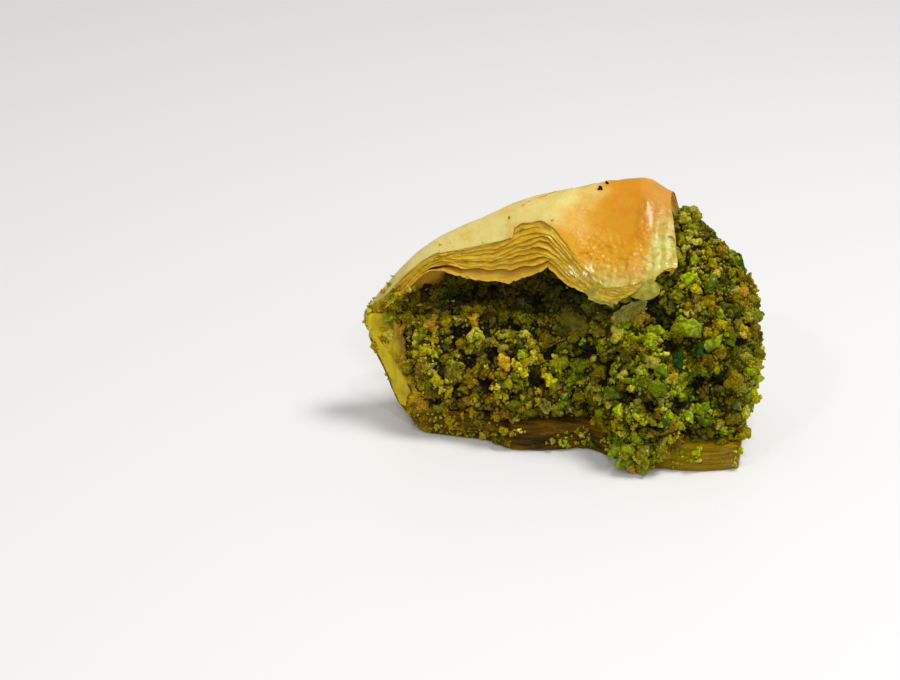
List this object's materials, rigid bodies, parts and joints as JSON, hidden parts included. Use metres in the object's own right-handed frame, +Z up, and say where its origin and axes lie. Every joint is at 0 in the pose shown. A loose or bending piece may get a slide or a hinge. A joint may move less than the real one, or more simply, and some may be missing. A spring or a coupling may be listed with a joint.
{
  "type": "baklava piece",
  "caption": "Folded pistachio baklava: a stack of thin golden pastry leaves folded over a heap of chopped green pistachios, open at the front and right end.",
  "frame": {"origin": "middle of the footprint's bounding box, on the surface that the piece rests on", "axes": "+X along the front from the folded nose to the open end, +Y to the folded back, +Z up"},
  "size_m": [0.0734, 0.0386, 0.0462],
  "materials": {
    "pastry": "thin baked phyllo leaves, pale cream to amber, soaked and glossy with syrup",
    "pistachio": "chopped pistachio grains in bright, dark and olive green with brown skin, moist with syrup"
  },
  "bodies": {
    "root": {"pastry_shell": "pastry", "pistachio_filling": "pistachio"}
  },
  "joints": []
}
